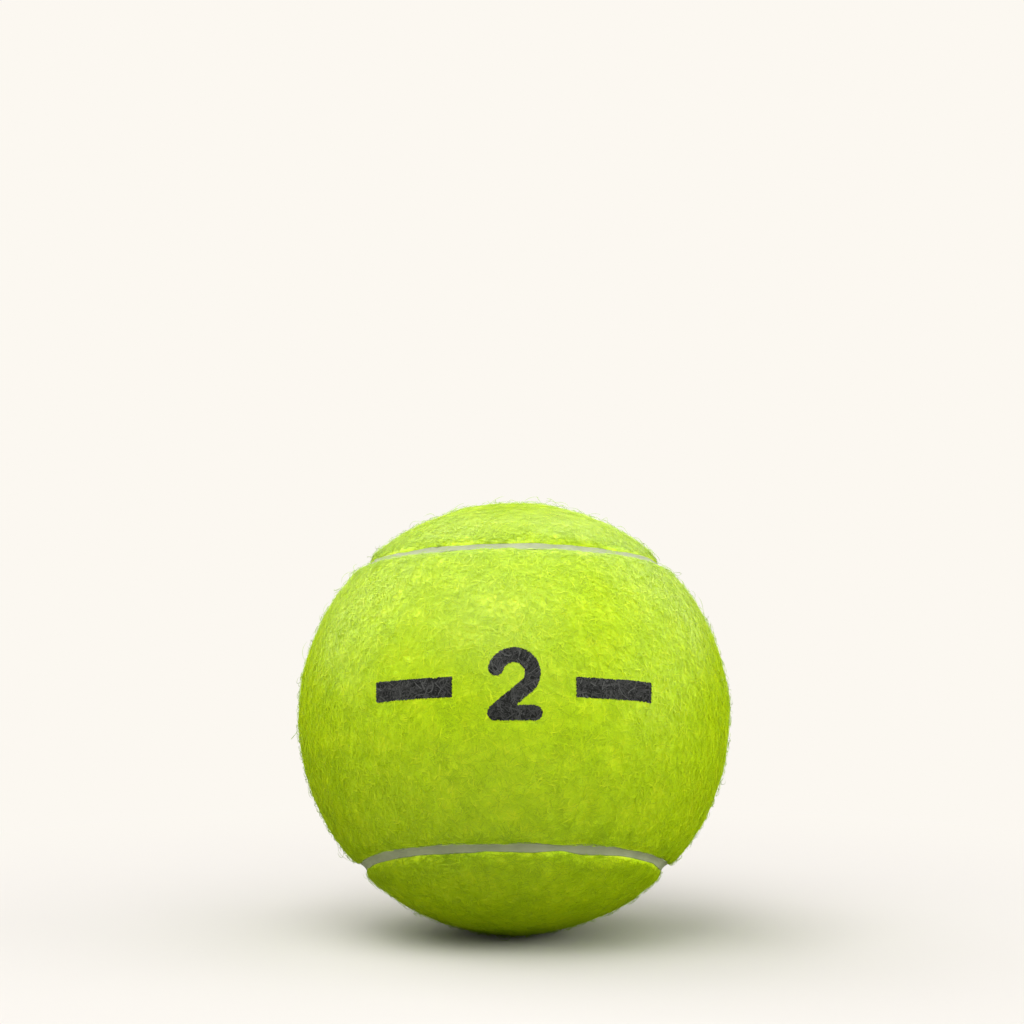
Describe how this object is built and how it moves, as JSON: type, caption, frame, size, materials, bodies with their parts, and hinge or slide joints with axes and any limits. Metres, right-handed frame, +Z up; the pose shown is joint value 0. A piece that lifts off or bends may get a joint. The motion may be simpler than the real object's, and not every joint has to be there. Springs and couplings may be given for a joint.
{
  "type": "padel ball",
  "caption": "Pressurised padel ball: hollow rubber core under a felt cover, with a recessed curved rubber seam between the felt panels.",
  "frame": {"origin": "the ball's centre", "axes": "+Z up as the ball lies in the picture, -Y towards the camera and the waist of the front felt panel, +X to the right along that panel"},
  "size_m": [0.0656, 0.0656, 0.0656],
  "materials": {
    "felt": "napped melton felt, matt, optic yellow",
    "seam_rubber": "off-white vulcanised rubber, dull",
    "core_rubber": "dark moulded natural rubber, dull",
    "rubber_cement": "cured rubber solution, satin",
    "ink": "charcoal ink stamped on the nap"
  },
  "bodies": {
    "root": {"core_half_lower": "core_rubber", "core_half_upper": "core_rubber", "core_joint_cement": "rubber_cement", "felt_cement_front": "rubber_cement", "felt_cement_rear": "rubber_cement", "felt_panel_front": "felt", "felt_panel_rear": "felt", "seam_rubber": "seam_rubber"}
  },
  "joints": []
}
